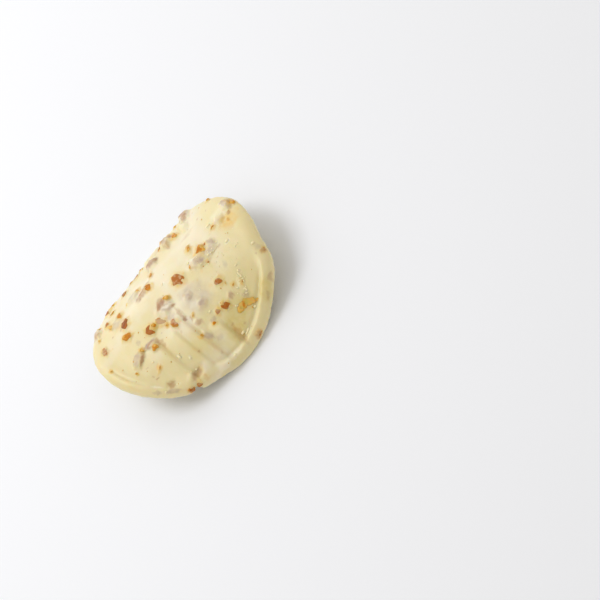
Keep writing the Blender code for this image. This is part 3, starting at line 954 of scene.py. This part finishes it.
def laid(along, across, turn, lift):
    """Lays a piece on the surface: turned, leaning as the surface does, and lifted off it."""
    x = along + LEAN_REACH * np.array((0.0, -1.0, 1.0, 0.0, 0.0))
    y = across + LEAN_REACH * np.array((0.0, 0.0, 0.0, -1.0, 1.0))
    heights = thickness(x, y)
    lean = Matrix.Identity(4)
    lean[2][0] = (heights[2] - heights[1]) / (2 * LEAN_REACH)
    lean[2][1] = (heights[4] - heights[3]) / (2 * LEAN_REACH)
    place = Matrix.Translation((along, across, heights[0] + lift))
    return place @ lean @ Matrix.Rotation(math.radians(turn), 4, "Z")


def set_chips(rows, name, draw):
    """Sets a list of chips in the chocolate, each with only its top standing out."""
    pieces = []
    for along, across, length, width, turn, proud, tone, kind in rows:
        tilt = Matrix.Rotation(draw.uniform(-CHIP_TILT, CHIP_TILT), 4, "X")
        size = Matrix.Diagonal((CHIP_SPREAD * length, CHIP_SPREAD * width, CHIP_DEPTH, 1.0))
        matrix = laid(along, across, turn, proud - CHIP_DEPTH / 2) @ tilt @ size
        pieces.append(copy_at(chips[kind], matrix, tone))
    return join_and_bend(pieces, name, CHIP_CREASE)


chips = {}
for name, cuts in BREAK_CUTS.items():
    chips[name] = cut_ball(name, cuts, BALL_ROUNDS)
    melt(chips[name])
    at_unit_size(chips[name])
roasted = set_chips(ROASTED_CHIPS, "roasted_nuts", Random(NUT_SEED))

# The mottle moves a chip's tone up and down, and breaks up its glow and the laps of chocolate.
SMEAR = (0.84, 0.72, 0.45, 1.0)
MOTTLE_SIZE = 0.0015
MOTTLE_DETAIL = 1.0
MOTTLE_SWING = 1.6
MIDDLING_STEP = (0.0, 0.45)
DARK_STEP = (0.5, 1.0)
GLOW_MOTTLE = 1.2
GLOW_STEP = (1.0, 1.7)
GLOW_SHARE = 0.9
LAP_CLOUD = 0.0009
SMEAR_STEP = (2.0, 2.6)
SMEAR_SHARE = 0.6
CHIP_SATIN = 0.2
CHIP_SATIN_SWING = 0.25
CHIP_SPECULAR = 0.15
CHIP_CLEARNESS = 0.5
CHIP_LIGHT_SPREAD = (1.0, 0.4, 0.08)
CHIP_LIGHT_DEPTH = 0.0006
CHIP_BUMP = 0.4


def chip_finish(name, pale, middling, dark, rim_glow):
    """Colours by tone and mottle, with a glow at the outline and smears where chocolate laps."""
    finish = Finish(name)
    place = finish.place()
    mottle = finish.clouds(place, MOTTLE_SIZE, MOTTLE_DETAIL)
    tone = finish.stain("tone") + MOTTLE_SWING * mottle - MOTTLE_SWING / 2
    colour = finish.blend(finish.step(tone, *MIDDLING_STEP), pale, middling)
    colour = finish.blend(finish.step(tone, *DARK_STEP), colour, dark)
    edge = finish.stain("edge")
    glowing = finish.step(edge + GLOW_MOTTLE * mottle, *GLOW_STEP) * GLOW_SHARE
    colour = finish.blend(glowing, colour, rim_glow)
    laps = finish.clouds(place, LAP_CLOUD)
    smeared = finish.step(edge + laps, *SMEAR_STEP) * SMEAR_SHARE
    colour = finish.blend(smeared, colour, SMEAR)
    finish.feed(finish.surface["Base Color"], colour)
    finish.feed(finish.surface["Roughness"], CHIP_SATIN + CHIP_SATIN_SWING * mottle)
    finish.surface["Specular IOR Level"].default_value = CHIP_SPECULAR
    finish.surface["Subsurface Weight"].default_value = CHIP_CLEARNESS
    finish.surface["Subsurface Radius"].default_value = CHIP_LIGHT_SPREAD
    finish.surface["Subsurface Scale"].default_value = CHIP_LIGHT_DEPTH
    finish.bump(mottle, CHIP_BUMP, SKIN_DEPTH)
    return finish


PALE_NUT = (0.60, 0.38, 0.20, 1.0)
ROAST = (0.45, 0.15, 0.018, 1.0)
DARK_ROAST = (0.28, 0.08, 0.014, 1.0)
ORANGE_GLOW = (0.66, 0.32, 0.06, 1.0)
roast = chip_finish("roasted_nut", PALE_NUT, ROAST, DARK_ROAST, ORANGE_GLOW)
roasted.data.materials.append(roast.material)


# Caramel that set in glassy drops and chips, from pale yellow where it is thin to orange-brown.
# It has the same breaks as the nuts, with small grains of it all over the round.
CARAMEL_SEED = 5

caramel = set_chips(CARAMEL_CHIPS, "caramel_chips", Random(CARAMEL_SEED))

PALE_AMBER = (0.77, 0.48, 0.12, 1.0)
AMBER = (0.58, 0.215, 0.006, 1.0)
BURNT_AMBER = (0.38, 0.11, 0.004, 1.0)
YELLOW_GLOW = (0.74, 0.42, 0.07, 1.0)
glass = chip_finish("caramel", PALE_AMBER, AMBER, BURNT_AMBER, YELLOW_GLOW)
caramel.data.materials.append(glass.material)

GRAIN_CUTS = ((30, 20, 0.7), (150, 10, 0.8), (270, 20, 0.7))
GRAIN_ROUNDS = 1
GRAIN_DEPTH = 0.7
GRAIN_CREASE = 60
SPECK_SEED = 12
SPECKS = 34
SPECK_REACH = 31.0
SPECK_LENGTHS = (0.25, 0.6)
SPECK_SLIMNESS = (0.6, 1.0)
SPECK_TONES = (-0.1, 0.3)
SPECK_LIFT = 0.5

grain = cut_ball("grain", GRAIN_CUTS, GRAIN_ROUNDS)
at_unit_size(grain)


def set_grains(rows, name, lift):
    """Sets small grains on the surface: a place, a length, a width, a turn and a tone each."""
    pieces = []
    for along, across, length, width, turn, tone in rows:
        depth = GRAIN_DEPTH * width
        size = Matrix.Diagonal((length, width, depth, 1.0))
        matrix = laid(along, across, turn, (lift - 0.5) * depth) @ size
        pieces.append(copy_at(grain, matrix, tone))
    return join_and_bend(pieces, name, GRAIN_CREASE)


draw = Random(SPECK_SEED)
speck_rows = []
for number in range(SPECKS):
    bearing = draw.uniform(-math.pi, math.pi)
    reach = SPECK_REACH * math.sqrt(draw.random())
    length = draw.uniform(*SPECK_LENGTHS)
    width = length * draw.uniform(*SPECK_SLIMNESS)
    place = (reach * math.cos(bearing), reach * math.sin(bearing))
    turn = draw.uniform(0, HALF_TURN)
    speck_rows.append((*place, length, width, turn, draw.uniform(*SPECK_TONES)))
specks = set_grains(speck_rows, "caramel_specks", SPECK_LIFT)
specks.data.materials.append(glass.material)


# A thin flake of clear caramel, cracked into four shards that lie flat near the lip. They are
# the nuts' breaks again, pressed thin.
FLAKE_DEPTH = 0.5
FLAKE_SHARDS = (
    (9.4, -22.3, 2.6, 2.2, 0, -0.6, "pebble"),
    (11.3, -22.2, 3.8, 2.8, 0, 0.0, "block"),
    (13.0, -23.0, 3.6, 2.6, -35, 0.05, "block"),
    (14.7, -24.4, 2.4, 1.3, -45, -0.6, "pebble"),
)
FLAKE_PROUD = 0.18

shards = []
for along, across, length, width, turn, tone, kind in FLAKE_SHARDS:
    size = Matrix.Diagonal((length, width, FLAKE_DEPTH, 1.0))
    matrix = laid(along, across, turn, FLAKE_PROUD - FLAKE_DEPTH / 2) @ size
    shards.append(copy_at(chips[kind], matrix, tone))
flake = join_and_bend(shards, "caramel_flake", CHIP_CREASE)
flake.data.materials.append(glass.material)


# White crumbs of nut meal and sugar that stuck to the surface: the larger ones one by one, a
# trail of small ones near the lip, and a dusting over the middle. A crumb is its place along and
# across, its length, its width and its turn in degrees.
CRUMBS = [
    (4.3, -27.1, 1.4, 0.7, 20),
    (5.9, -27.8, 1.9, 0.7, 15),
    (5.0, -28.1, 1.0, 0.6, 0),
    (-2.4, -29.2, 1.4, 0.7, 0),
    (12.8, -25.1, 1.1, 0.8, -15),
    (27.2, -12.8, 1.3, 0.8, 0),
    (9.3, -20.6, 0.6, 0.5, 0),
    (9.7, -21.0, 0.5, 0.4, 0),
    (7.3, -19.6, 0.9, 0.5, 0),
    (8.3, -19.1, 0.7, 0.5, 0),
    (14.3, -20.7, 0.6, 0.4, 0),
    (12.6, -18.8, 0.6, 0.4, 0),
    (16.0, -3.5, 0.9, 0.7, 0),
    (17.0, -3.8, 0.7, 0.4, 0),
    (18.0, -4.0, 0.8, 0.4, 0),
    (20.5, -2.7, 0.9, 0.6, 0),
    (12.5, -3.7, 0.8, 0.4, 0),
    (13.2, -4.6, 0.6, 0.3, 0),
    (13.9, -5.4, 0.6, 0.4, 0),
    (9.9, 0.9, 1.0, 0.8, 0),
    (24.8, 1.2, 0.5, 0.4, 0),
    (29.1, 1.4, 0.5, 0.4, 0),
    (30.9, 3.0, 0.6, 0.5, 0),
    (17.3, -6.2, 0.7, 0.4, 0),
    (15.3, -8.9, 0.5, 0.4, 0),
    (22.8, -5.5, 1.4, 0.9, 0),
    (23.0, -9.0, 0.6, 0.5, 0),
    (24.2, -9.0, 0.6, 0.4, 0),
    (6.2, -8.5, 0.5, 0.4, 0),
    (-0.3, 4.3, 1.6, 0.5, 40),
    (22.7, 4.3, 1.8, 0.6, 0),
    (-13.3, -16.8, 0.7, 1.4, 0),
    (-11.5, -19.6, 0.8, 1.0, 0),
    (-13.0, -23.0, 0.8, 0.6, 0),
    (-14.6, -22.4, 0.7, 0.4, 0),
    (-24.1, -20.2, 0.8, 0.5, 0),
    (3.0, -15.5, 1.2, 0.6, 0),
    (-19.7, -11.3, 0.6, 0.5, 0),
    (-20.2, -21.3, 0.5, 0.4, 0),
]
TRAIL_START = (18.6, -13.7)
TRAIL_END = (14.4, -20.4)
TRAIL_CRUMBS = 30
TRAIL_SPREAD = 0.6
TRAIL_LENGTHS = (0.3, 0.75)
DUST = 45
DUST_ALONG = (8.0, 28.0)
DUST_ACROSS = (-12.0, 4.0)
DUST_LENGTHS = (0.2, 0.5)
CRUMB_SEED = 21
CRUMB_SLIMNESS = 0.7
CRUMB_TONE = 1.0
CRUMB_LIFT = 0.6

draw = Random(CRUMB_SEED)
small_crumbs = []
for number in range(TRAIL_CRUMBS):
    share = number / (TRAIL_CRUMBS - 1)
    along = TRAIL_START[0] + share * (TRAIL_END[0] - TRAIL_START[0])
    along += draw.gauss(0.0, TRAIL_SPREAD)
    across = TRAIL_START[1] + share * (TRAIL_END[1] - TRAIL_START[1])
    across += draw.gauss(0.0, TRAIL_SPREAD)
    length = draw.uniform(*TRAIL_LENGTHS)
    turn = draw.uniform(0, HALF_TURN)
    small_crumbs.append((along, across, length, CRUMB_SLIMNESS * length, turn))
for number in range(DUST):
    along, across = draw.uniform(*DUST_ALONG), draw.uniform(*DUST_ACROSS)
    length = draw.uniform(*DUST_LENGTHS)
    turn = draw.uniform(0, HALF_TURN)
    small_crumbs.append((along, across, length, CRUMB_SLIMNESS * length, turn))
crumb_rows = [(*crumb, CRUMB_TONE) for crumb in CRUMBS + small_crumbs]
crumbs = set_grains(crumb_rows, "white_crumbs", CRUMB_LIFT)

CRUMB_CREAM = (0.94, 0.81, 0.46, 1.0)
CRUMB_WHITE = (0.96, 0.87, 0.58, 1.0)
SPECKLE_SIZE = 0.0005
CRUMB_ROUGHNESS = 0.5
CRUMB_SPECULAR = 0.2
meal = Finish("white_crumb")
speckle = meal.clouds(meal.place(), SPECKLE_SIZE)
meal.feed(meal.surface["Base Color"], meal.blend(speckle, CRUMB_CREAM, CRUMB_WHITE))
meal.surface["Roughness"].default_value = CRUMB_ROUGHNESS
meal.surface["Specular IOR Level"].default_value = CRUMB_SPECULAR
crumbs.data.materials.append(meal.material)

# The pieces that were copied aren't part of the tuile themselves.
for source in (*chips.values(), grain):
    bpy.data.objects.remove(source)


# A plain white floor under the tuile, and soft studio light: an even warm sky, a large lamp
# above the arch and another behind it, so that the shadow falls to the near side.
FLOOR_WIDTH = 6.0
FLOOR_WHITE = (0.88, 0.90, 0.96, 1.0)
FLOOR_ROUGHNESS = 0.8

# A lamp is its name, its place in metres, its width in metres and its watts.
LAMPS = (
    ("key_lamp", Vector((-0.20, 0.18, 0.60)), 0.34, 1.6),
    ("back_lamp", Vector((-0.05, 0.60, 0.38)), 0.6, 1.25),
)
SKY_COLOUR = (1.0, 0.965, 0.89, 1.0)
SKY_STRENGTH = 0.62

bpy.ops.object.select_all(action="DESELECT")
bpy.ops.mesh.primitive_plane_add(size=FLOOR_WIDTH)
floor = bpy.context.object
floor.name = "floor"
paper = Finish("white_floor")
paper.surface["Base Color"].default_value = FLOOR_WHITE
paper.surface["Roughness"].default_value = FLOOR_ROUGHNESS
floor.data.materials.append(paper.material)

for name, place, width, watts in LAMPS:
    bpy.ops.object.light_add(type="AREA", location=place)
    lamp = bpy.context.object
    lamp.name = name
    lamp.rotation_euler = place.to_track_quat("Z", "Y").to_euler()
    lamp.data.size = width
    lamp.data.energy = watts

sky = bpy.data.worlds.new("studio")
sky.use_nodes = True
background = sky.node_tree.nodes["Background"].inputs
background["Color"].default_value = SKY_COLOUR
background["Strength"].default_value = SKY_STRENGTH
bpy.context.scene.world = sky
bpy.context.scene.view_settings.view_transform = "Standard"
